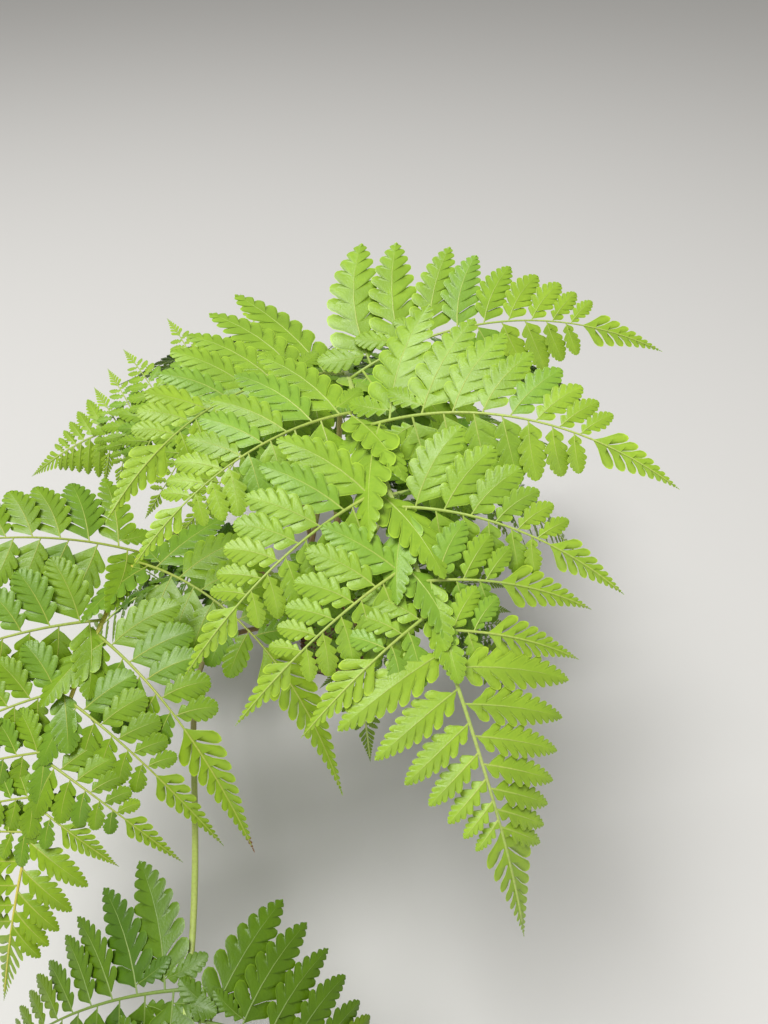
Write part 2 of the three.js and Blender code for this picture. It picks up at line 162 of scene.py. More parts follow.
# Ribs, midribs and stalks: radii, thinning towards the tip, points, sides and grooves
RIB_RADIUS = 1.7
RIB_THINNING = 1.25
RIB_POINTS = 60
RIB_SIDES = 12
RIB_GROOVE = 0.3
GROOVE_WIDTH = 0.5
DRAWN_SHARE = 0.97
MIDRIB_RADIUS = 0.55
MIDRIB_GROWTH = 0.4
MIDRIB_THINNING = 0.72
MIDRIB_POINTS = 14
LONG_MIDRIB = 90
LONG_MIDRIB_POINTS = 24
MIDRIB_SIDES = 8
STIPE_RADII = (2.7, 1.75)
STIPE_POINTS = 26
STIPE_GROOVE = 0.25
STIPE_DEPTH = 8
STIPE_PULLS = (0.42, 0.36)

# Raised veins of the leaflets: radius and its growth with length, share of the length,
# thinning, height of the ridge and depth of its foot
COSTA_RADIUS = 0.22
COSTA_GROWTH = 0.006
COSTA_SHARE = 0.88
COSTA_POINTS = 6
COSTA_THINNING = 0.85
COSTA_HEIGHT = 1.1
COSTA_SINK = 0.1

# Colours by place: from which share of a side branch on, and how often
TIP_FROM = 0.5
INNER_SHARE = 0.3
BURNT_SHARE = 0.02
BURNT_FROM = 0.87
UNBURNT = 2.0

# The crown stem and its scales
CROWN_RADIUS = 26
CROWN_HEIGHT = 80
CROWN_PROFILE = ((40, 0), (36, 8), (30, 22), (27, 40), (26, 56), (23, 68), (15, 77), (0, 80))
BARK_ROUGH = 1.8
BARK_ROWS = 56
BARK_COLUMNS = 120
SCALES = 1500
SCALES_FROM = 3
SCALES_SPAN = 74
SCALE_RISES = (0.5, 1.3)
SCALE_SWAYS = (-0.7, 0.7)
SCALE_SIZES = (4, 9)
SCALE_WIDTH = 0.11
SCALE_MIDDLE = 0.55
SCALE_HOLLOWS = (0.08, 0.2)

# Seeds of the scales and of the first frond
CROWN_SEED = 7
FIRST_SEED = 100

# Materials in the order in which the leaves and the ribs of a frond carry them
KIND_BODY, KIND_TIP, KIND_INNER, KIND_BURNT = range(4)
KIND_RIB, KIND_COSTA = range(2)

# The four forms of frond
FORMS = {
    "main": {
        "gaps": (0.195, 0.172, 0.117, 0.068, 0.05),
        "share": 0.88,
        "offset": 0.36,
        "reach": 0.34,
        "tail": 0.8,
        "fat": 1.16,
        "right": {
            "lengths": (187, 149, 132, 108, 80, 59),
            "angles": (57, 69, 66, 70, 70, 78),
            "shrink": 0.81,
            "closing": 2.5,
            "sweep": 21,
            "lift": 15,
            "droop": 53,
            "louvres": (50, 30, 22, 12, 2, -6),
            "level": -42,
        },
        "left": {
            "lengths": (196, 164, 116, 83, 69, 58),
            "angles": (98, 69, 62, 75, 71, 75),
            "shrink": 0.87,
            "closing": 4,
            "sweep": 28,
            "lift": 28,
            "droop": 60,
            "louvres": (62, 40, 34, 24, 14, 6),
            "level": -10,
        },
    },
    "wide": {
        "gaps": (0.214, 0.14, 0.118, 0.082, 0.067),
        "share": 0.85,
        "offset": 0.27,
        "reach": 0.23,
        "tail": 0.5,
        "fat": 1.4,
        "right": {
            "lengths": (239, 185, 144, 109, 84, 66),
            "angles": (74, 64, 60, 70, 69, 75),
            "shrink": 0.84,
            "closing": 3,
            "sweep": 23,
            "lift": 16,
            "droop": 40,
            "louvres": (40, 36, 26, 14, 0, -14),
            "level": -28,
        },
        "left": {
            "lengths": (248, 191, 146, 113, 69, 51),
            "angles": (69, 63, 71, 76, 76, 75),
            "shrink": 0.87,
            "closing": 3,
            "sweep": 26,
            "lift": 8,
            "droop": 57,
            "louvres": (34, 22, 8, -6, -18, -28),
            "level": -52,
        },
    },
    "low": {
        "gaps": (0.195, 0.172, 0.117, 0.068, 0.05),
        "share": 0.87,
        "offset": 0.3,
        "reach": 0.36,
        "tail": 0.75,
        "fat": 1.0,
        "right": {
            "lengths": (201, 165, 130, 99, 78, 62),
            "angles": (92, 80, 71, 78, 74, 79),
            "shrink": 0.82,
            "closing": 3,
            "sweep": 23,
            "lift": -5,
            "droop": 50,
            "louvres": (16, 8, 2, -6, -12, -18),
            "level": -25,
        },
        "left": {
            "lengths": (204, 165, 130, 99, 78, 62),
            "angles": (79, 70, 65, 73, 71, 77),
            "shrink": 0.82,
            "closing": 3,
            "sweep": 20,
            "lift": -8,
            "droop": 60,
            "louvres": (10, 0, -8, -14, -20, -24),
            "level": -34,
        },
    },
    "plain": {
        "gaps": (0.195, 0.165, 0.117, 0.075, 0.058),
        "share": 0.87,
        "offset": 0.3,
        "reach": 0.34,
        "tail": 0.7,
        "fat": 1.05,
        "right": {
            "lengths": (190, 157, 123, 94, 74, 58),
            "angles": (76, 69, 66, 72, 71, 75),
            "shrink": 0.83,
            "closing": 3,
            "sweep": 23,
            "lift": 15,
            "droop": 48,
            "louvres": (30, 30, 32, 34, 34, 30),
            "level": 0,
        },
    },
}
FORMS["plain"]["left"] = FORMS["plain"]["right"]

# The left frond hangs on its side, and its side branches turn their faces to the front
LEFT_LEVEL = -45
LEFT_LOUVRES = {
    "right": (5, -5, -10, -20, -25, -28),
    "left": (-10, -20, -30, -35, -40, -42),
}


def frond(name, form, base, heading, turn, rise, fall, bend, length, foot, steep, **more):
    """One frond, with the same values as in the solids."""
    made = dict(name=name, form=form, base=base, heading=heading, turn=turn)
    made.update(rise=rise, fall=fall, bend=bend, length=length, foot=foot, steep=steep)
    made.update(roll=0, twist=0, shade="deep", ribs="green", burnt=(), louvres=None)
    made.update(more)
    return made


FRONDS = [
    frond("main", "main", (23, -101, 373), 6, 27, 23, -73, 1, 362, (10, 70), 82,
          roll=-5, twist=11, shade="bright"),
    frond("front_left", "wide", (-114, -143, 262), -4, -29, 19, -66, 1.7, 305, (-50, 62), 62,
          roll=7, twist=-10, shade="mid", ribs="gold", burnt=((-1, 1),)),
    frond("front_low", "low", (-52, -379, 184), 3, 0, -8, -26, 1.4, 270, (-92, 30), 0,
          roll=-4, shade="low"),
    frond("left", "plain", (-45, 14, 262), -92, 0, 15, -40, 1.3, 235, (-95, 72), 84,
          roll=42, shade="bright", louvres=LEFT_LOUVRES),
    frond("back_left", "plain", (-62, 80, 240), -146, -6, 20, -60, 1.4, 270, (-140, 68), 76),
    frond("back", "plain", (2, 98, 202), 176, 8, 18, -62, 1.3, 290, (176, 66), 74),
    frond("back_right", "plain", (74, 56, 250), 124, 6, 20, -58, 1.3, 270, (128, 70), 76),
    frond("right", "plain", (58, -8, 205), 82, 6, 22, -55, 1.3, 190, (84, 64), 76),
    frond("inner_right", "plain", (58, -58, 160), 42, 6, 20, -60, 1.3, 160, (45, 56), 66),
    frond("inner_front", "plain", (14, -84, 190), 8, 4, 20, -60, 1.3, 160, (22, 50), 70),
    frond("inner_left", "plain", (-84, -22, 134), -66, -6, 20, -55, 1.3, 180, (-72, 54), 60),
    frond("inner_back", "plain", (56, 74, 126), 142, 6, 22, -55, 1.3, 170, (152, 54), 56),
]


def directions(heading, slope, roll):
    """Forward, right-hand and upper directions for a compass heading, a slope and a roll."""
    h, e, r = radians(heading), radians(slope), radians(roll)
    forward = np.array([sin(h) * cos(e), -cos(h) * cos(e), sin(e)])
    flat = np.array([-cos(h), -sin(h), 0.0])
    upper = np.cross(flat, forward)
    side = flat * cos(r) + upper * sin(r)
    up = upper * cos(r) - flat * sin(r)
    return forward, side, up


def unit(vectors):
    """The same directions at length 1."""
    return vectors / np.linalg.norm(vectors, axis=-1, keepdims=True)


class Rib:
    """The rib of a blade: equal steps whose slope falls from rise to fall."""

    def __init__(self, plan):
        self.length = plan["length"]
        step = self.length / RIB_STEPS
        point = np.array(plan["base"], float)
        points, frames = [point], []
        for i in range(RIB_STEPS):
            v = (i + 0.5) / RIB_STEPS
            slope = plan["fall"] + (plan["rise"] - plan["fall"]) * (1 - v) ** plan["bend"]
            heading = plan["heading"] + plan["turn"] * v
            found = directions(heading, slope, plan["roll"] + plan["twist"] * v)
            frames.append(found)
            point = point + found[0] * step
            points.append(point)
        self.points = np.array(points)
        self.frames = np.array(frames)

    def at(self, v):
        """Point and directions at share v."""
        x = min(v, 1) * RIB_STEPS
        i = min(max(int(x), 0), RIB_STEPS - 1)
        point = self.points[i] + (self.points[i + 1] - self.points[i]) * (x - i)
        return point, self.frames[i]

    def place(self, p, q, h):
        """Points p along the rib, q to its right and h above it."""
        x = np.clip(p / self.length, 0, 1) * RIB_STEPS
        i = np.minimum(x.astype(int), RIB_STEPS - 1)
        point = self.points[i] + (self.points[i + 1] - self.points[i]) * (x - i)[:, None]
        near = np.clip((x - 0.5).astype(int), 0, RIB_STEPS - 2)
        share = np.clip(x - 0.5 - near, 0, 1)[:, None, None]
        frames = unit(self.frames[near] * (1 - share) + self.frames[near + 1] * share)
        return point + frames[:, 1] * q[:, None] + frames[:, 2] * h[:, None]


def pair_places(form, count):
    """Shares of the rib at which the pairs of pinnae stand."""
    places = [0.0]
    for gap in form["gaps"]:
        places.append(places[-1] + gap)
    while len(places) < count:
        places.append(1 - (1 - places[-1]) * form["share"])
    return places[:count]


class Pinna:
    """One side branch of a frond: its root, its curved midrib and the surface around it."""

    def __init__(self, plan, rib, index, hand):
        form = FORMS[plan["form"]]
        self.rule = form["right" if hand > 0 else "left"]
        self.size = plan["length"] / FORM_LENGTH
        v = pair_places(form, index + 1)[index]
        if hand < 0:
            v = min(LAST_PLACE, v + form["offset"] * (1 - v) * OFFSET_SHARE)
        known = min(index, len(self.rule["lengths"]) - 1)
        beyond = index - known
        self.v, self.hand, self.place_in_frond = v, hand, (hand, index)
        self.length = self.rule["lengths"][known] * self.size * self.rule["shrink"] ** beyond
        self.reach, self.tail, self.fat = form["reach"], form["tail"], form["fat"]
        self.angle = self.rule["angles"][known] - self.rule["closing"] * beyond
        self.ease = EASE_LEAST + (1 - EASE_LEAST) * (1 - v)
        louvres, level = self.rule["louvres"], self.rule["level"]
        if plan["louvres"]:
            louvres, level = plan["louvres"]["right" if hand > 0 else "left"], LEFT_LEVEL
        self.louvre = radians(max(louvres[known] - LOUVRE_STEP * beyond, level))
        self.root, self.root_frame = rib.at(v)
        step = self.length / PINNA_STEPS
        middles = (np.arange(PINNA_STEPS) + 0.5) / PINNA_STEPS
        along = self.directions(middles)[0]
        self.points = self.root + np.vstack([np.zeros(3), np.cumsum(along * step, axis=0)])

    def lean(self, t):
        """Angle in the frond's plane between the rib and the midrib at share t."""
        return np.radians(self.angle - self.rule["sweep"] * self.ease * t)

    def directions(self, t):
        """Along, across towards the frond's tip, and up, at shares t of the midrib."""
        forward, side, upper = self.root_frame
        a = self.lean(t)[:, None]
        b = np.radians((self.rule["lift"] - self.rule["droop"] * t) * self.ease)[:, None]
        out = forward * np.cos(a) + side * np.sin(a) * self.hand
        level = forward * np.sin(a) - side * np.cos(a) * self.hand
        along = out * np.cos(b) + upper * np.sin(b)
        over = upper * np.cos(b) - out * np.sin(b)
        c, s = cos(self.louvre), sin(self.louvre)
        return along, level * c - over * s, over * c + level * s

    def place(self, p, q, h):
        """Points p along the midrib, q across it and h above its two bent halves."""
        t = np.clip(p / self.length, 0, 1)
        x = t * PINNA_STEPS
        i = np.minimum(x.astype(int), PINNA_STEPS - 1)
        point = self.points[i] + (self.points[i + 1] - self.points[i]) * (x - i)[:, None]
        along, across, up = self.directions(t)
        point = point + along * (p - t * self.length)[:, None]
        point = point + across * (q * cos(FOLD))[:, None]
        return point + up * (h - np.abs(q) * sin(FOLD))[:, None]


class Leaflet:
    """A carrier for one leaflet on the surface of a pinna, or of a larger leaflet.

    Its axis starts s along the parent's, on one side of it, at an angle that changes by
    bend on the way, so that its tip stays where a straight one would end.
    """

    def __init__(self, parent, s, side, angle, length, bend, roll, lift, droop):
        self.parent, self.s, self.side = parent, s, side
        self.start, self.rate = angle + bend / 2, bend / length
        self.length, self.roll, self.lift, self.droop = length, roll, lift, droop

    def place(self, p, q, h):
        """Points p along the leaflet's axis, q across it and h above it."""
        a = self.start - self.rate * p
        x = (np.sin(self.start) - np.sin(a)) / self.rate
        y = (np.cos(a) - np.cos(self.start)) / self.rate
        flat = q * cos(self.roll) + h * sin(self.roll)
        high = h * cos(self.roll) - q * sin(self.roll)
        high = high + self.lift * p - self.droop * p * p / self.length
        s = self.s + x + np.sin(a) * flat
        u = self.side * (y - np.cos(a) * flat)
        return self.parent.place(s, u, high)


class Mesh:
    """Points with their edge and vein values and faces with their kinds, gathered in turn."""

    def __init__(self):
        self.points, self.faces, self.kinds = [], [], []
        self.edges, self.veins = [], []
        self.count = 0

    def add(self, points, faces, kind=0, edge=None, vein=None):
        """Take in points and the faces between them, all of one kind or each of its own."""
        blank = np.zeros(len(points))
        self.points.append(points)
        self.edges.append(blank if edge is None else edge)
        self.veins.append(blank if vein is None else vein)
        self.faces.append(faces + self.count)
        self.kinds.append(np.full(len(faces), kind))
        self.count += len(points)


def add_object(name, data):
    """A new object in the scene."""
    made = bpy.data.objects.new(name, data)
    bpy.context.scene.collection.objects.link(made)
    return made


def build(name, mesh, materials, replaced):
    """Make the piece of a Mesh, riding on the plant's body."""
    points = np.concatenate(mesh.points) * METRES
    faces = np.concatenate(mesh.faces)
    kinds = np.concatenate(mesh.kinds)
    data = bpy.data.meshes.new(name)
    data.vertices.add(len(points))
    data.vertices.foreach_set("co", points.astype(np.float32).ravel())
    data.loops.add(faces.size)
    data.loops.foreach_set("vertex_index", faces.astype(np.int32).ravel())
    data.polygons.add(len(faces))
    data.polygons.foreach_set("loop_start", np.arange(0, faces.size, 3, dtype=np.int32))
    data.polygons.foreach_set("material_index", kinds.astype(np.int32))
    for key, values in (("edge", mesh.edges), ("vein", mesh.veins)):
        layer = data.attributes.new(key, "FLOAT", "POINT")
        layer.data.foreach_set("value", np.concatenate(values).astype(np.float32))
    for material in materials:
        data.materials.append(material)
    data.update(calc_edges=True)
    data.validate()
    data.shade_smooth()
    made = add_object(name, data)
    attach(made, "root")
    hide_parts(*replaced)


def smooth(low, high, x):
    """A soft step from 0 at low to 1 at high."""
    t = np.clip((x - low) / (high - low), 0, 1)
    return t * t * (3 - 2 * t)


def lobe_side(length, count, cut, sharp, first, width, shape, lean, ear=0.0, waist=0.14):
    """Half of a lobed leaflet in its own plane: p, q, height, edge, vein and faces.

    The half lies at q above 0. count lobes stand between stations on the axis from share
    first on. cut gives the share of each lobe that slits part from the next along the
    axis, width the half width as a share of the length, shape its course along the axis,
    and lean the angles of the lobes at the base and at the tip. ear makes the first lobe
    longer and cuts it free. waist is the share by which deep lobes narrow at their roots.
    """
    k = np.arange(count + 1)
    station = first + (LOBES_END - first) * (1 - (1 - k / count) ** sharp)
    middle = (station[:-1] + station[1:]) / 2

    def course(t):
        tilt = np.radians(lean[0] + (lean[1] - lean[0]) * t)
        reach = width * length * shape(t) / np.sin(tilt)
        return tilt, reach

    depth = cut(station)
    if ear > 0:
        depth[:2] = np.maximum(depth[:2], FREE_CUT)
    tilt, reach = course(station)
    inner = np.maximum(reach * (1 - depth), LEAST_BLADE * length)
    low_p = station * length + inner * np.cos(tilt)
    low_q = inner * np.sin(tilt)

    tilt, reach = course(middle)
    tilt[0] += EAR_TURN * ear
    reach[0] *= 1 + ear
    depth = (depth[:-1] + depth[1:]) / 2
    half = np.diff(station) * length * np.sin(tilt) / 2 * LOBE_FILL
    half[0] *= 1 + EAR_WIDTH * ear

    # Outline of a lobe: x from 0 at the axis to 1 at the lobe's end, y from -1 to 1 across
    # it, above 0 on the side towards the leaflet's tip
    round_off = np.minimum(half / reach, 1)
    x_side = 1 - np.minimum((0.91 + waist) * round_off, (0.87 - 0.3 * waist) * depth)
    x_turn = 1 - np.minimum((0.33 + 0.6 * waist) * round_off, 0.5 * depth)
    y_turn = 0.92 - 0.55 * waist
    x_tip = 1 - 0.1 * (1 - x_turn)
    ones = np.ones(count)
    x_root = 1 - 0.9 * depth
    y_root = 1 - waist * smooth(0.3, 0.8, depth)
    corners = [(x_root, -y_root), (x_side, -1.0), (x_turn, -y_turn), (x_tip, -0.3)]
    corners += [(ones, 0.2), (x_turn, y_turn), (x_side, 1.0), (x_root, y_root)]
    corners.append((1 - 0.55 * depth, 0.0))

    # Deep lobes bend towards the leaflet's tip, and each lobe arches along its middle
    base = middle * length
    bend = LOBE_BEND * reach * depth
    back = LOBE_RETURN * bend
    p = [base + reach * x * np.cos(tilt) + half * y * np.sin(tilt) + bend * x * x
         for x, y in corners]
    q = [reach * x * np.sin(tilt) - half * y * np.cos(tilt) - back * x * x
         for x, y in corners]
    h = [-LOBE_TILT * half * (y + 1) - LOBE_FALL * reach * x for x, y in corners]
    h[-1] = h[-1] + LOBE_CROWN * half
    edge = [ones for _ in corners]
    edge[-1] = 0 * ones
    vein = [ones * np.where(np.abs(y) > VEIN_HALF, np.abs(y), 0) for _, y in corners]

    per = len(corners)
    axis = np.arange(count + 1)
    slit = axis + count + 1
    own = 2 * (count + 1) + np.arange(count)[:, None] * per + np.arange(per)[None, :]
    flat, full = np.zeros(count + 1), np.ones(count + 1)

    def gather(on_axis, at_slit, at_corners, at_tip):
        return np.concatenate([on_axis, at_slit, np.array(at_corners).T.ravel(), [at_tip]])

    all_p = gather(station * length, low_p, p, length)
    all_q = gather(flat, np.maximum(low_q, 0), np.maximum(q, 0), 0)
    all_h = gather(flat, -SLIT_FALL * low_q, h, 0)
    all_edge = gather(flat, full, edge, 1)
    all_vein = gather(full, full, vein, 0)
    a, b = axis[:-1], axis[1:]
    c, d = slit[:-1], slit[1:]
    m = own[:, -1]
    rear, fore = own[:, 0], own[:, per - 2]
    parts = [np.stack([a, b, m], 1), np.stack([a, m, rear], 1), np.stack([a, rear, c], 1)]
    parts += [np.stack([b, d, fore], 1), np.stack([b, fore, m], 1)]
    parts += [np.stack([m, own[:, j + 1], own[:, j]], 1) for j in range(per - 2)]
    tip = len(all_p) - 1
    parts.append(np.array([[axis[-1], tip, slit[-1]]]))
    return all_p, all_q, all_h, all_edge, all_vein, np.concatenate(parts)


def lance(t):
    """Half width along a large leaflet, on the side towards the tip."""
    return np.minimum(1.06, 0.66 + 1.5 * t) * (1 - t**1.5) ** 0.88


def lance_back(t):
    """Half width along a large leaflet, on the other side."""
    return np.minimum(1.04, 0.54 + 1.5 * t) * (1 - t**1.5) ** 0.9


def oval(t):
    """Half width along a small leaflet, on the side towards the tip."""
    return np.minimum(1.2, 0.36 + 2.3 * t) * (1 - t**2) ** 0.92


def oval_back(t):
    """Half width along a small leaflet, on the other side."""
    return np.minimum(1.18, 0.26 + 2.2 * t) * (1 - t**2) ** 0.92


def mixed(first, second, share):
    """A course between two others."""
    return lambda t: first(t) * (1 - share) + second(t) * share


def add_blade(mesh, carrier, flip, kind, sides, burnt=UNBURNT):
    """A lobed leaflet from its two halves, placed by its carrier and burnt beyond a share."""
    for sign, values in zip((1, -1), sides):
        p, q, h, edge, vein, faces = lobe_side(carrier.length, **values)
        points = carrier.place(p, sign * q, h)
        turned = faces if sign * flip > 0 else faces[:, ::-1]
        beyond = p[faces].min(axis=1) > burnt * carrier.length
        mesh.add(points, turned, np.where(beyond, KIND_BURNT, kind), edge, vein)


def cuts(start, power, end):
    """Depth of the slits along an axis, falling from start to end."""
    return lambda t: end + (start - end) * (1 - t) ** power


def leaflet_sides(length, fat):
    """The two halves of a free leaflet: deeply lobed if large, only crenate if small."""
    large = float(smooth(23, 52, length))
    power = 2.2 - 1.1 * float(smooth(42, 60, length))
    count = int(np.clip(round(6.2 + length / 30), 7, 8))
    front = dict(
        count=count,
        cut=cuts(0.11 + 0.83 * large, power, 0.08),
        sharp=1.35,
        first=0.035,
        width=(0.225 - 0.005 * large) * fat,
        shape=mixed(oval, lance, large),
        lean=(60, 36),
        ear=0.22 * float(smooth(16, 26, length)),
    )
    back = dict(
        count=count,
        cut=cuts(0.1 + 0.8 * large, power, 0.08),
        sharp=1.3,
        first=0.07,
        width=(0.205 + 0.005 * large) * fat,
        shape=mixed(oval_back, lance_back, large),
        lean=(56, 34),
    )
    return front, back


def simple_sides(length):
    """The two halves of a short side branch: one lobed or crenate leaflet."""
    large = float(smooth(24, 50, length))
    half = dict(
        count=7 + round(3 * large),
        cut=cuts(0.12 + 0.74 * large, 1.3, 0.09),
        sharp=1.4,
        first=0.03,
        width=0.18 + 0.01 * large,
        shape=mixed(oval, lance, large),
        lean=(54, 32),
        waist=0.3,
    )
    return half, dict(half, first=0.07)


def tail_sides(length, half_width, count, start, opening):
    """The two halves of the pinnatifid end of a side branch, from share start on."""
    half = dict(
        count=count,
        cut=cuts(0.96, 0.6, 0.12),
        sharp=TAIL_CROWDING,
        first=0.0,
        width=half_width / length,
        shape=lambda t: taper(start + (1 - start) * t) / taper(start),
        lean=(opening, 24),
        waist=0.26,
    )
    return half, half


def ring_faces(rows, columns):
    """Triangles between rows of points that each close to a ring, and the row of each."""
    i, j = np.meshgrid(np.arange(rows - 1), np.arange(columns), indexing="ij")
    a = (i * columns + j).ravel()
    b = (i * columns + (j + 1) % columns).ravel()
    halves = [np.stack([a, b, b + columns], 1), np.stack([a, b + columns, a + columns], 1)]
    return np.concatenate(halves), np.tile(i.ravel(), 2)


def tube(mesh, points, radii, ups, sides, groove, kind):
    """A tube along points, with a groove along its upper side.

    kind is one number, or one for each step along the tube.
    """
    tangents = unit(np.gradient(points, axis=0))
    across = unit(np.cross(tangents, ups))
    over = np.cross(across, tangents)
    angles = np.arange(sides) / sides * 2 * pi
    from_top = (angles + pi) % (2 * pi) - pi
    radius = radii[:, None] * (1 - groove * np.exp(-((from_top / GROOVE_WIDTH) ** 2)))
    ring = over[:, None] * (radius * np.cos(angles))[:, :, None]
    ring = ring + across[:, None] * (radius * np.sin(angles))[:, :, None]
    body = points[:, None] + ring
    count = len(points)
    faces, row = ring_faces(count, sides)
    steps = np.broadcast_to(kind, count - 1)
    kinds = np.concatenate([steps[row], np.full(2 * sides, steps[-1])])
    ends = np.array([points[0], points[-1] + tangents[-1] * radii[-1]])
    first, last = count * sides, count * sides + 1
    j = np.arange(sides)
    after = (j + 1) % sides
    top = (count - 1) * sides
    caps = [np.stack([after, j, np.full(sides, first)], 1),
            np.stack([j + top, after + top, np.full(sides, last)], 1)]
    total = np.concatenate([body.reshape(-1, 3), ends])
    mesh.add(total, np.concatenate([faces, *caps]), kinds)


def add_costa(mesh, carrier, reach, radius, steps):
    """The raised vein along a leaflet's axis, as a slim ridge of three lines."""
    p = np.linspace(0, reach, steps)
    r = radius * (1 - COSTA_THINNING * p / reach)
    foot = np.full(steps, -COSTA_SINK * radius)
    lines = [(-r, foot), (0 * r, COSTA_HEIGHT * r), (r, foot)]
    points = np.concatenate([carrier.place(p, q, h) for q, h in lines])
    i = np.arange(steps - 1)
    faces = []
    for row in range(2):
        a = row * steps + i
        b = a + steps
        faces += [np.stack([a, b, b + 1], 1), np.stack([a, b + 1, a + 1], 1)]
    mesh.add(points, np.concatenate(faces), KIND_COSTA)


def leaflet_places(pinna):
    """Shares of the midrib at which leaflets or lobes stand: closer than in the solids."""
    count = round(LEAFLETS_LEAST + pinna.length / pinna.size / SIZE_PER_LEAFLET)
    count = min(LEAFLETS_MOST, count)
    k = np.arange(count) / count
    return LEAFLETS_FROM + LEAFLETS_SPAN * (1 - (1 - k) ** LEAFLET_CROWDING)


def taper(t):
    """How the leaflets shrink along a side branch, by the rule of the solids."""
    gain = 1 + ROOT_GAIN * np.maximum(0, 1 - t / ROOT_SHARE)
    return (1 - t) ** TAPER_POWER * (1 + TAPER_SWELL * t * (1 - t)) * gain


def leaflet_size(pinna, t):
    """Length and angle of the leaflet at share t, by the rule of the solids."""
    whole = pinna.length / pinna.size
    reach = min(pinna.reach, REACH_START + REACH_GROWTH * whole)
    reach = reach * (1 + SMALL_GAIN * smooth(*SMALL_SIZES, whole))
    opening = OPENING + OPENING_GROWTH * min(1, whole / FULL_SIZE)
    return pinna.length * reach * taper(t), radians(opening - OPENING_FALL * t)


def spray_sides():
    """The two halves of the largest leaflets: long lobes cut nearly to the midrib."""
    front = dict(
        count=8,
        cut=cuts(0.97, 1.4, 0.09),
        sharp=1.3,
        first=0.055,
        width=0.225,
        shape=lambda t: np.minimum(1.04, 0.66 + 1.5 * t) * (1 - t**1.7) ** 0.9,
        lean=(66, 38),
        ear=0.15,
        waist=0.2,
    )
    return front, dict(front, first=0.09, width=0.205)


def grow_spray(leaves, veins, carrier, flip, kind, fat):
    """A leaflet so large that its lowest lobe is a leaflet of its own."""
    add_blade(leaves, carrier, flip, kind, spray_sides())
    size = 0.36 * carrier.length
    low = Leaflet(
        carrier,
        0.08 * carrier.length,
        side=-1,
        angle=radians(74),
        length=size,
        bend=0.3,
        roll=radians(6),
        lift=0.08,
        droop=0.12,
    )
    add_blade(leaves, low, flip, kind, leaflet_sides(size, fat))
    add_costa(veins, low, reach=0.85 * size, radius=0.3, steps=4)


class Tail:
    """A carrier for the last part of a parent's own axis."""

    def __init__(self, parent, start, end):
        self.parent, self.start, self.length = parent, start, end - start

    def place(self, p, q, h):
        """Points p along the part, q across it and h above it."""
        return self.parent.place(self.start + p, q, h)


def add_midrib(veins, pinna):
    """The grooved midrib of a side branch."""
    count = LONG_MIDRIB_POINTS if pinna.length > LONG_MIDRIB else MIDRIB_POINTS
    s = np.linspace(0, DRAWN_SHARE * pinna.length, count)
    zero = np.zeros(count)
    line = pinna.place(s, zero, zero)
    ups = pinna.directions(s / pinna.length)[2]
    thick = MIDRIB_RADIUS + MIDRIB_GROWTH * min(1, pinna.length / FULL_SIZE)
    radii = thick * (1 - MIDRIB_THINNING * s / pinna.length)
    tube(veins, line, radii, ups, MIDRIB_SIDES, RIB_GROOVE, KIND_COSTA)


def add_leaflet(leaves, veins, pinna, side, t, covering, rng):
    """One free leaflet at share t of a side branch."""
    length, angle = leaflet_size(pinna, t)
    lift = LEAST_LIFT + rng.uniform(*LIFTS)
    droop = lift + rng.uniform(*DROOPS)
    roll = radians(rng.uniform(*ROLLS))
    if covering:
        lift = COVER_LIFT + sin(pinna.louvre)
        droop = COVER_DROOP + rng.uniform(*COVER_DROOPS)
        angle += radians(COVER_TURN)
        roll = 0.0
    leaf = Leaflet(
        pinna,
        t * pinna.length,
        side,
        angle=angle + radians(rng.uniform(*TURNS)),
        length=length * rng.uniform(*SIZES),
        bend=radians(rng.uniform(*BENDS)),
        roll=roll,
        lift=lift,
        droop=droop,
    )
    kind = KIND_BODY
    if t > TIP_FROM:
        kind = KIND_TIP
    elif rng.random() < INNER_SHARE:
        kind = KIND_INNER
    turn = -pinna.hand * side
    fat = pinna.fat * rng.uniform(*WIDTHS)
    if length > SPRAY_LENGTH:
        grow_spray(leaves, veins, leaf, turn, kind, fat)
    else:
        add_blade(leaves, leaf, turn, kind, leaflet_sides(length, fat))
    radius = COSTA_RADIUS + COSTA_GROWTH * length
    add_costa(veins, leaf, COSTA_SHARE * length, radius, COSTA_POINTS)


def add_tail(leaves, pinna, t, count, burnt):
    """The lobed end of a side branch, from share t on."""
    length, angle = leaflet_size(pinna, t)
    tail = Tail(pinna, t * pinna.length, pinna.length)
    half_width = TAIL_WIDTH * length * sin(angle)
    sides = tail_sides(tail.length, half_width, count, t, degrees(angle) - TAIL_CLOSING)
    add_blade(leaves, tail, pinna.hand, KIND_TIP, sides, burnt)


def grow_pinna(leaves, veins, plan, pinna, rng):
    """All leaflets of one side branch, with its midrib.

    The first leaflet on the side towards the frond's tip lies over the rib.
    """
    whole = pinna.length / pinna.size
    if whole < TAIL_SIZES[0]:
        blade = Tail(pinna, 0, pinna.length)
        add_blade(leaves, blade, pinna.hand, KIND_TIP, simple_sides(pinna.length))
        add_costa(veins, blade, reach=0.9 * pinna.length, radius=0.5, steps=COSTA_POINTS)
        return
    add_midrib(veins, pinna)
    start = min(pinna.tail, float(np.interp(whole, TAIL_SIZES, TAIL_STARTS)))
    places = leaflet_places(pinna)
    free = int(np.sum(places < start))
    for side in (1, -1):
        for j in range(free):
            t = places[j]
            if side < 0:
                t += SIDE_SHIFT * (places[j + 1] - t)
            covering = side > 0 and j == 0 and whole > COVERED_FROM
            add_leaflet(leaves, veins, pinna, side, t, covering, rng)
    is_burnt = rng.random() < BURNT_SHARE or pinna.place_in_frond in plan["burnt"]
    burnt = BURNT_FROM if is_burnt else UNBURNT
    add_tail(leaves, pinna, places[free], len(places) - free, burnt)


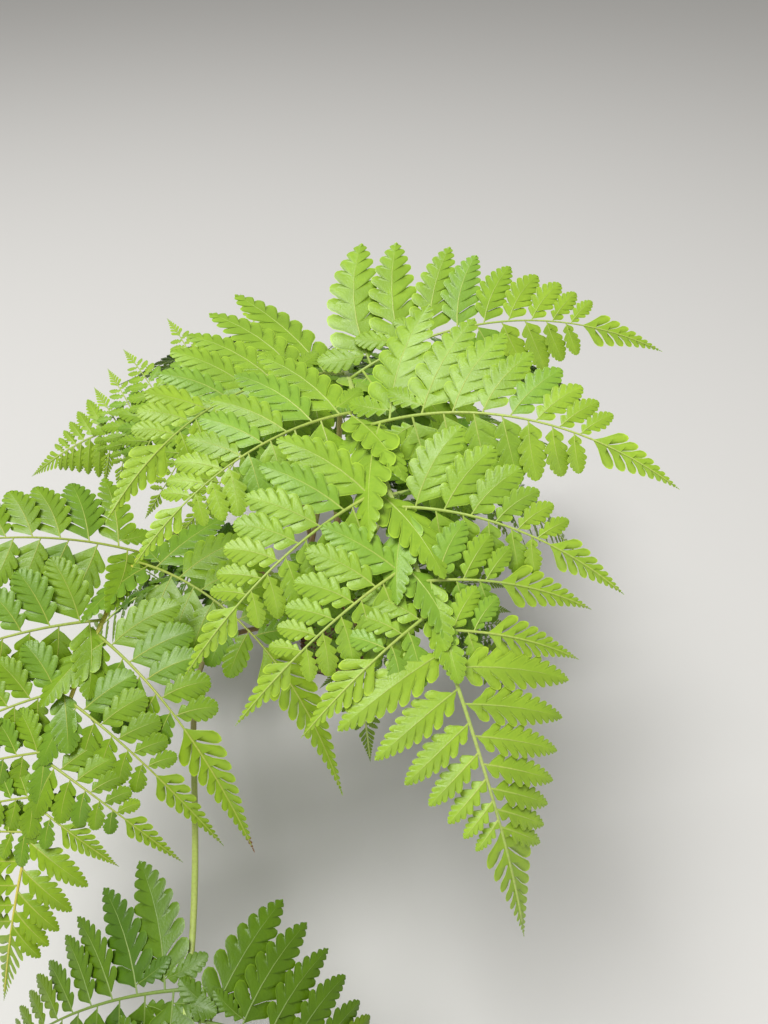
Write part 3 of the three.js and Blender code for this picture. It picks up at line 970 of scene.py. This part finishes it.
def stipe_line(plan):
    """The curve of the bare stalk from inside the crown up to the start of the blade."""
    turn, height = plan["foot"]
    outward = directions(turn, 0, 0)[0]
    first = directions(turn, plan["steep"], 0)[0]
    last = directions(plan["heading"], plan["rise"], plan["roll"])[0]
    a = outward * CROWN_RADIUS + np.array([0, 0, height]) - first * STIPE_DEPTH
    d = np.array(plan["base"], float) - last * RIB_LEAD
    span = np.linalg.norm(d - a)
    b = a + first * span * STIPE_PULLS[0]
    c = d - last * span * STIPE_PULLS[1]
    t = np.linspace(0, 1, STIPE_POINTS)[:, None]
    return a * (1 - t) ** 3 + 3 * b * t * (1 - t) ** 2 + 3 * c * t**2 * (1 - t) + d * t**3


def add_stalk(stalk, plan):
    """The grooved bare stalk of a frond, from its lowest colour to its highest."""
    up = directions(plan["heading"], plan["rise"], plan["roll"])[2]
    radii = np.linspace(*STIPE_RADII, STIPE_POINTS)
    steps = STIPE_POINTS - 1
    kinds = np.arange(steps) * len(STIPE_COLOURS) // steps
    ups = np.tile(up, (STIPE_POINTS, 1))
    tube(stalk, stipe_line(plan), radii, ups, RIB_SIDES, STIPE_GROOVE, kinds)


def add_rib(veins, plan, rib):
    """The grooved rib of a blade, starting in its stalk."""
    forward, _, up = directions(plan["heading"], plan["rise"], plan["roll"])
    p = np.linspace(0, DRAWN_SHARE * rib.length, RIB_POINTS)
    zero = np.zeros(RIB_POINTS)
    line = rib.place(p, zero, zero)
    ups = np.vstack([up, rib.place(p, zero, zero + 1) - line])
    line = np.vstack([rib.points[0] - forward * RIB_LEAD, line])
    radii = np.concatenate([[RIB_RADIUS], RIB_RADIUS - RIB_THINNING * p / rib.length])
    tube(veins, line, radii, ups, RIB_SIDES, RIB_GROOVE, KIND_RIB)


def add_end(leaves, rib, followers):
    """The lobed end of a frond, in line with the side branches that would come next."""
    end = Tail(rib, FROND_END * rib.length, FROND_TIP * rib.length)
    sides = []
    for pinna in followers:
        width = pinna.length * sin(radians(pinna.angle))
        width = width * (1 - FROND_END) / (1 - pinna.v)
        width = min(width, FROND_END_WIDTH * end.length)
        halves = tail_sides(end.length, width, FROND_END_LOBES, FROND_END_TAPER, pinna.angle)
        sides.append(halves[0])
    add_blade(leaves, end, 1, KIND_TIP, sides)


def grow_frond(plan, seed):
    """Leaves, veins and stalk of one frond, each as its own piece."""
    rng = np.random.default_rng(seed)
    rib = Rib(plan)
    leaves, veins, stalk = Mesh(), Mesh(), Mesh()
    followers = []
    for hand in (1, -1):
        for index in range(PAIRS):
            pinna = Pinna(plan, rib, index, hand)
            if pinna.v > FROND_END:
                break
            grow_pinna(leaves, veins, plan, pinna, rng)
        followers.append(pinna)
    add_end(leaves, rib, followers)
    add_stalk(stalk, plan)
    add_rib(veins, plan, rib)
    return leaves, veins, stalk


def crown_points(turns, heights):
    """Points on the crown: its profile with ridges and knobs."""
    radius, height = zip(*CROWN_PROFILE)
    r = np.interp(heights, height, radius)
    ridges = np.sin(5 * turns + 0.09 * heights) + np.sin(9 * turns - 0.13 * heights + 1)
    knobs = np.sin(23 * turns + 0.9 * heights) * np.sin(0.7 * heights + 2 * turns)
    r = np.maximum(r - BARK_ROUGH + BARK_ROUGH * (0.3 * ridges + 0.4 * knobs), 0)
    return np.stack([r * np.cos(turns), r * np.sin(turns), heights], -1)


def grow_bark():
    """The crown's bark as one closed surface."""
    heights = np.repeat(np.linspace(0, CROWN_HEIGHT, BARK_ROWS), BARK_COLUMNS)
    turns = np.tile(np.arange(BARK_COLUMNS) / BARK_COLUMNS * 2 * pi, BARK_ROWS)
    points = crown_points(turns, heights)
    faces = ring_faces(BARK_ROWS, BARK_COLUMNS)[0]
    j = np.arange(BARK_COLUMNS)
    foot = np.full(BARK_COLUMNS, len(points))
    cap = np.stack([(j + 1) % BARK_COLUMNS, j, foot], 1)
    bark = Mesh()
    bark.add(np.vstack([points, np.zeros(3)]), np.concatenate([faces, cap]))
    return bark


def grow_scales(seed):
    """The dry scales that cover the crown, each a slim pointed leaf of three faces."""
    rng = np.random.default_rng(seed)
    turn = rng.uniform(0, 2 * pi, SCALES)
    height = SCALES_FROM + SCALES_SPAN * rng.random(SCALES)
    root = crown_points(turn, height)
    outward = np.stack([np.cos(turn), np.sin(turn), np.zeros(SCALES)], 1)
    sideways = np.stack([-np.sin(turn), np.cos(turn), np.zeros(SCALES)], 1)
    rise = rng.uniform(*SCALE_RISES, SCALES)[:, None]
    sway = rng.uniform(*SCALE_SWAYS, SCALES)[:, None]
    ahead = outward * np.cos(rise) + np.array([0, 0, 1]) * np.sin(rise) + sideways * sway
    ahead = unit(ahead)
    across = unit(np.cross(ahead, outward + 0.01))
    size = rng.uniform(*SCALE_SIZES, SCALES)[:, None]
    half = across * size * SCALE_WIDTH
    middle = root + ahead * size * SCALE_MIDDLE - outward * size * SCALE_HOLLOWS[0]
    tip = root + ahead * size - outward * size * SCALE_HOLLOWS[1]
    points = np.stack([root - half, root + half, middle + half, middle - half, tip], 1)
    base = np.arange(SCALES)[:, None] * 5
    faces = [base + np.array(f) for f in ((0, 1, 2), (0, 2, 3), (3, 2, 4))]
    scales = Mesh()
    scales.add(points.reshape(-1, 3), np.concatenate(faces))
    return scales


# Base colours of the leaflets: body, tip and inner ones. The sets are lit and shaded copies,
# painted light and shade by frond: bright for the most lit fronds, mid, low and deep for fronds
# in more shade
LEAF_COLOURS = {
    "bright": ((0.235, 0.395, 0.027), (0.265, 0.422, 0.028), (0.20, 0.365, 0.032)),
    "mid": ((0.17, 0.30, 0.010), (0.205, 0.335, 0.010), (0.14, 0.27, 0.014)),
    "low": ((0.082, 0.165, 0.004), (0.115, 0.20, 0.004), (0.062, 0.14, 0.006)),
    "deep": ((0.10, 0.20, 0.006), (0.135, 0.235, 0.006), (0.075, 0.17, 0.008)),
}

# Burnt ends, sheen, bark and scales
BURNT = (0.20, 0.09, 0.03)
SHEEN = (0.36, 0.53, 0.17, 1)
BARK = (0.09, 0.05, 0.03)
BARK_LIGHT = (0.17, 0.11, 0.06)
SCALE = (0.24, 0.11, 0.04)
SCALE_LIGHT = (0.36, 0.19, 0.07)

# Two colours each that streak the ribs, raised veins and stalks
RIB_COLOURS = {
    "green": ((0.44, 0.54, 0.14), (0.37, 0.50, 0.10)),
    "gold": ((0.62, 0.55, 0.07), (0.50, 0.52, 0.08)),
}
# Raised veins in lit and shaded copies as well, painted shade darker for the fronds in more
# shade
COSTA_COLOURS = {
    "bright": ((0.40, 0.50, 0.09), (0.33, 0.46, 0.07)),
    "mid": ((0.36, 0.42, 0.06), (0.29, 0.39, 0.05)),
    "low": ((0.17, 0.25, 0.035), (0.13, 0.22, 0.03)),
    "deep": ((0.15, 0.23, 0.03), (0.11, 0.19, 0.025)),
}
STIPE_COLOURS = {
    "low": ((0.28, 0.17, 0.06), (0.22, 0.18, 0.05)),
    "mid": ((0.33, 0.29, 0.08), (0.27, 0.29, 0.06)),
    "high": ((0.37, 0.42, 0.10), (0.31, 0.40, 0.08)),
}

# Sockets of a mix of two colours: share and both colours, and the result
MIX_INPUTS = (0, 6, 7)
MIX_RESULT = 2


class Graph:
    """A short way to build the nodes of one material."""

    def __init__(self, name):
        self.material = bpy.data.materials.new(name)
        self.material.use_nodes = True
        self.tree = self.material.node_tree
        self.shader = self.tree.nodes["Principled BSDF"]

    def feed(self, socket, value):
        """Link another socket to this one, or set its own value."""
        if isinstance(value, bpy.types.NodeSocket):
            self.tree.links.new(value, socket)
        else:
            socket.default_value = value

    def surface(self, name, value):
        """Feed one input of the shader."""
        self.feed(self.shader.inputs[name], value)

    def node(self, kind, inputs, **settings):
        """A new node with its settings made and its inputs fed."""
        made = self.tree.nodes.new(kind)
        for key, value in settings.items():
            setattr(made, key, value)
        for key, value in inputs.items():
            self.feed(made.inputs[key], value)
        return made

    def noise(self, scale, detail=3.0, roughness=0.55):
        """Noise in the object's own space, with scale in waves per metre."""
        place = self.node("ShaderNodeTexCoord", {}).outputs["Object"]
        inputs = {"Vector": place, "Scale": scale, "Detail": detail, "Roughness": roughness}
        return self.node("ShaderNodeTexNoise", inputs).outputs["Fac"]

    def ramp(self, source, low, high, start, end):
        """A value that goes from start to end while source goes from low to high."""
        inputs = {"Value": source, "From Min": low, "From Max": high}
        inputs.update({"To Min": start, "To Max": end})
        return self.node("ShaderNodeMapRange", inputs).outputs["Result"]

    def mix(self, share, first, second):
        """A colour between two others."""
        inputs = dict(zip(MIX_INPUTS, (share, first, second)))
        return self.node("ShaderNodeMix", inputs, data_type="RGBA").outputs[MIX_RESULT]

    def attribute(self, name):
        """A value that the mesh holds for each point."""
        return self.node("ShaderNodeAttribute", {}, attribute_name=name).outputs["Fac"]

    def maths(self, operation, a, b):
        """The sum or product of two values."""
        return self.node("ShaderNodeMath", {0: a, 1: b}, operation=operation).outputs[0]

    def bump(self, height, strength, distance):
        """Fine relief of the surface."""
        inputs = {"Height": height, "Strength": strength, "Distance": distance}
        self.surface("Normal", self.node("ShaderNodeBump", inputs).outputs["Normal"])


def shade(colour, gain, yellow=0.0):
    """A lighter or darker, or yellower, form of a base colour."""
    r, g, b = colour
    return (min(1, r * (gain + yellow)), min(1, g * gain), min(1, b * gain), 1)


def leaf_material(name, colour):
    """Leathery green with paler veins and margins, a soft mottle, painted shade at the slits
    and near the axis, and a painted sheen at grazing angles.
    """
    graph = Graph(name)
    patches = graph.ramp(graph.noise(55), 0.35, 0.65, 0, 1)
    body = graph.mix(patches, shade(colour, 0.84), shade(colour, 1.1, 0.03))
    specks = graph.ramp(graph.noise(420, 2), 0.4, 0.6, 0, 0.5)
    body = graph.mix(specks, body, shade(colour, 0.93, -0.04))
    vein, edge = graph.attribute("vein"), graph.attribute("edge")
    # Lighter towards the outline: partly a pale margin, partly painted shade that leaves the
    # axis and the middles of the lobes darker
    pale_margin_and_shade = graph.ramp(edge, 0.0, 0.9, 0.0, 0.45)
    body = graph.mix(pale_margin_and_shade, body, shade(colour, 1.22, 0.08))
    midrib = graph.ramp(vein, 0.0, 0.3, 0.4, 0)
    body = graph.mix(midrib, body, shade(colour, 1.12, 0.05))
    # Painted shade: darker along the sides of the lobes and in the slits between them, just
    # inside the rim
    slit_shade = graph.ramp(graph.maths("MULTIPLY", vein, edge), 0.2, 0.8, 0, 0.7)
    body = graph.mix(slit_shade, body, shade(colour, 0.5, -0.05))
    rim = graph.ramp(edge, 0.84, 0.97, 0, 0.8)
    body = graph.mix(rim, body, shade(colour, 1.5, 0.16))
    facing = graph.node("ShaderNodeLayerWeight", {"Blend": 0.4}).outputs["Facing"]
    body = graph.mix(graph.ramp(facing, 0.5, 0.95, 0, 0.25), body, SHEEN)
    graph.surface("Base Color", body)
    graph.surface("Roughness", graph.ramp(graph.noise(160, 2), 0.3, 0.7, 0.3, 0.44))
    graph.surface("Specular IOR Level", 0.32)
    grain = graph.maths("MULTIPLY", midrib, 0.5)
    grain = graph.maths("ADD", grain, graph.noise(900, 2))
    graph.bump(grain, strength=0.35, distance=0.0004)
    return graph.material


def stalk_material(name, colour, second):
    """A firm ribbed stalk, streaked between two colours."""
    graph = Graph(name)
    streaks = graph.ramp(graph.noise(30, 4), 0.35, 0.65, 0, 1)
    body = graph.mix(streaks, shade(colour, 1), shade(second, 1))
    specks = graph.ramp(graph.noise(700, 2), 0.45, 0.65, 0, 0.6)
    graph.surface("Base Color", graph.mix(specks, body, shade(colour, 0.7)))
    graph.surface("Roughness", graph.ramp(graph.noise(200, 2), 0.3, 0.7, 0.38, 0.55))
    graph.bump(graph.noise(600, 3), strength=0.4, distance=0.0004)
    return graph.material


def bark_material(name, colour, second):
    """Rough dull bark or dry scales, mottled between two colours."""
    graph = Graph(name)
    patches = graph.ramp(graph.noise(90, 5), 0.35, 0.65, 0, 1)
    body = graph.mix(patches, shade(colour, 1), shade(second, 1))
    cracks = graph.ramp(graph.noise(450, 3), 0.45, 0.6, 0, 0.7)
    graph.surface("Base Color", graph.mix(cracks, body, shade(colour, 0.5)))
    graph.surface("Roughness", graph.ramp(graph.noise(120, 3), 0.3, 0.7, 0.7, 0.95))
    graph.bump(graph.noise(500, 5), strength=0.8, distance=0.001)
    return graph.material


def add_camera():
    """The camera at the photograph's place."""
    camera = add_object("camera", bpy.data.cameras.new("camera"))
    camera.location = CAMERA_PLACE
    camera.rotation_euler = (radians(90 - CAMERA_DOWN), 0, 0)
    camera.data.lens = LENS
    camera.data.sensor_width = SENSOR
    camera.data.sensor_fit = "AUTO"
    camera.data.clip_start, camera.data.clip_end = CLIP
    bpy.context.scene.camera = camera


def add_floor():
    """A wide pale floor, which isn't part of the plant."""
    mesh = bpy.data.meshes.new("floor")
    signs = ((-1, -1), (1, -1), (1, 1), (-1, 1))
    corners = [(x * FLOOR_REACH, y * FLOOR_REACH, 0) for x, y in signs]
    mesh.from_pydata(corners, [], [(0, 1, 2, 3)])
    floor = add_object("floor", mesh)
    graph = Graph("floor")
    graph.surface("Base Color", FLOOR_COLOUR)
    graph.surface("Roughness", FLOOR_ROUGHNESS)
    mesh.materials.append(graph.material)


def add_light(name, place, target, power):
    """A square light at a place, turned to a target."""
    light = bpy.data.lights.new(name, "AREA")
    light.shape = "SQUARE"
    light.size = LIGHT_SIZE
    light.energy = power
    made = add_object(name, light)
    made.location = place
    x, y, z = np.array(target, float) - np.array(place, float)
    made.rotation_euler = (np.arctan2(hypot(x, y), -z), 0, -np.arctan2(x, y))


def add_world():
    """Even pale light from all around, and plain display of colours."""
    bpy.context.scene.view_settings.view_transform = "Standard"
    world = bpy.data.worlds.new("world")
    bpy.context.scene.world = world
    world.use_nodes = True
    backdrop = world.node_tree.nodes["Background"]
    backdrop.inputs["Color"].default_value = WORLD_COLOUR
    backdrop.inputs["Strength"].default_value = WORLD_STRENGTH


add_camera()

leaf_sets = {}
for key, colours in LEAF_COLOURS.items():
    parts = zip(("body", "tip", "inner"), colours)
    leaf_sets[key] = [leaf_material(f"leaf_{key}_{part}", colour) for part, colour in parts]
    leaf_sets[key].append(leaf_material(f"leaf_{key}_burnt", BURNT))
rib_sets = {key: stalk_material(f"rib_{key}", *pair) for key, pair in RIB_COLOURS.items()}
costae = {key: stalk_material(f"costa_{key}", *pair) for key, pair in COSTA_COLOURS.items()}
stipe_materials = [stalk_material(f"stipe_{key}", *pair) for key, pair in STIPE_COLOURS.items()]

bark = bark_material("bark", BARK, BARK_LIGHT)
scale = bark_material("scale", SCALE, SCALE_LIGHT)
build("crown_bark", grow_bark(), [bark], ["crown_stem"])
build("crown_scales", grow_scales(CROWN_SEED), [scale], ["crown_stem"])

for number, plan in enumerate(FRONDS):
    leaves, veins, stalk = grow_frond(plan, FIRST_SEED + number)
    # Each frond takes the lit or shaded copy of the leaf and vein colours, as painted light and
    # shade
    name, painted_lighting = plan["name"], plan["shade"]
    rib_materials = [rib_sets[plan["ribs"]], costae[painted_lighting]]
    build(f"{name}_leaves", leaves, leaf_sets[painted_lighting], [f"{name}_blade"])
    build(f"{name}_ribs", veins, rib_materials, [f"{name}_blade"])
    build(f"{name}_stalk", stalk, stipe_materials, [f"{name}_stipe"])

add_floor()
add_light("sky", (-0.9, -0.5, 3.4), (0, -0.2, 0.2), 116)
add_light("front", (0.6, -3.2, 1.6), (0, -0.2, 0.25), 17)
add_world()
